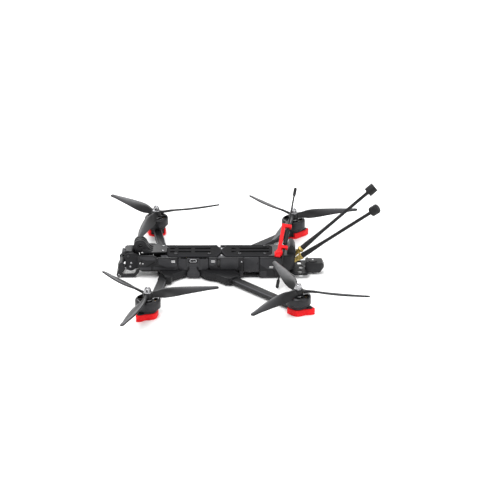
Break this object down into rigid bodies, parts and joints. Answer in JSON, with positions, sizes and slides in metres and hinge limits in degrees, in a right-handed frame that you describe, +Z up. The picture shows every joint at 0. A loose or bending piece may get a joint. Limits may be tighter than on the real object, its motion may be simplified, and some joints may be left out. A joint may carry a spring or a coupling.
{
  "type": "racing quadcopter",
  "caption": "Long-range first-person-view quadcopter with swept arms, three-blade propellers, a nose camera, tail antennas and soft foot pads.",
  "frame": {"origin": "on the underside of the bottom plate, midway between the four motor axes", "axes": "+X forward along the body, +Y to the left, +Z up, parallel to the motor axes"},
  "size_m": [0.383, 0.4257, 0.1178],
  "materials": {
    "carbon": "satin carbon fibre plate",
    "black_plastic": "fine-textured moulded plastic",
    "prop_plastic": "semi-gloss moulded plastic",
    "red_tpu": "matte printed rubber",
    "motor_black": "black anodised aluminium",
    "steel": "bright machined steel",
    "gold_brass": "gold-plated brass",
    "black_rubber": "matte black sleeve",
    "heat_sink": "dark anodised",
    "circuit_board": "black solder mask"
  },
  "bodies": {
    "airframe": {"bottom_plate": "carbon", "mid_plate": "carbon", "front_top_plate": "carbon", "rear_top_plate": "carbon", "bridge_plate": "carbon", "tail_plate": "carbon", "camera_cage_left": "carbon", "camera_cage_right": "carbon", "arm_front_left": "carbon", "arm_front_right": "carbon", "arm_rear_left": "carbon", "arm_rear_right": "carbon", "foot_pad_front_left": "red_tpu", "motor_base_front_left": "motor_black", "foot_pad_front_right": "red_tpu", "motor_base_front_right": "motor_black", "foot_pad_rear_left": "red_tpu", "motor_base_rear_left": "motor_black", "foot_pad_rear_right": "red_tpu", "motor_base_rear_right": "motor_black", "nose_panel_left": "black_plastic", "front_panel_left": "black_plastic", "port_column_left": "black_plastic", "mid_panel_left": "black_plastic", "hatch_panel_left": "black_plastic", "rear_panel_left": "black_plastic", "antenna_socket_left": "gold_brass", "video_antenna_left": "black_rubber", "nose_panel_right": "black_plastic", "front_panel_right": "black_plastic", "port_column_right": "black_plastic", "mid_panel_right": "black_plastic", "hatch_panel_right": "black_plastic", "rear_panel_right": "black_plastic", "antenna_socket_right": "gold_brass", "video_antenna_right": "black_rubber", "front_bumper": "black_plastic", "action_camera_mount": "black_plastic", "antenna_holder": "black_plastic", "gps_module": "black_plastic", "antenna_bracket": "red_tpu", "receiver_antenna": "black_rubber", "power_capacitor": "black_rubber", "video_transmitter": "heat_sink", "speed_controller": "circuit_board", "flight_controller": "circuit_board", "receiver": "circuit_board"},
    "rotor_front_left": {"motor_bell_front_left": "motor_black", "propeller_front_left": "prop_plastic", "prop_nut_front_left": "steel"},
    "rotor_front_right": {"motor_bell_front_right": "motor_black", "propeller_front_right": "prop_plastic", "prop_nut_front_right": "steel"},
    "rotor_rear_left": {"motor_bell_rear_left": "motor_black", "propeller_rear_left": "prop_plastic", "prop_nut_rear_left": "steel"},
    "rotor_rear_right": {"motor_bell_rear_right": "motor_black", "propeller_rear_right": "prop_plastic", "prop_nut_rear_right": "steel"},
    "camera": {"fpv_camera": "black_plastic"}
  },
  "joints": [
    {"name": "front_left_rotor_spin", "type": "hinge", "parent": "airframe", "child": "rotor_front_left", "pos_m": [0.0991, 0.1341, 0.029], "axis": [0, 0, 1], "continuous": true},
    {"name": "front_right_rotor_spin", "type": "hinge", "parent": "airframe", "child": "rotor_front_right", "pos_m": [0.0991, -0.1341, 0.029], "axis": [0, 0, 1], "continuous": true},
    {"name": "rear_left_rotor_spin", "type": "hinge", "parent": "airframe", "child": "rotor_rear_left", "pos_m": [-0.0991, 0.1242, 0.029], "axis": [0, 0, 1], "continuous": true},
    {"name": "rear_right_rotor_spin", "type": "hinge", "parent": "airframe", "child": "rotor_rear_right", "pos_m": [-0.0991, -0.1242, 0.029], "axis": [0, 0, 1], "continuous": true},
    {"name": "camera_tilt", "type": "hinge", "parent": "airframe", "child": "camera", "pos_m": [0.1315, 0, 0.029], "axis": [0, -1, 0], "range_deg": [-8, 14]}
  ]
}
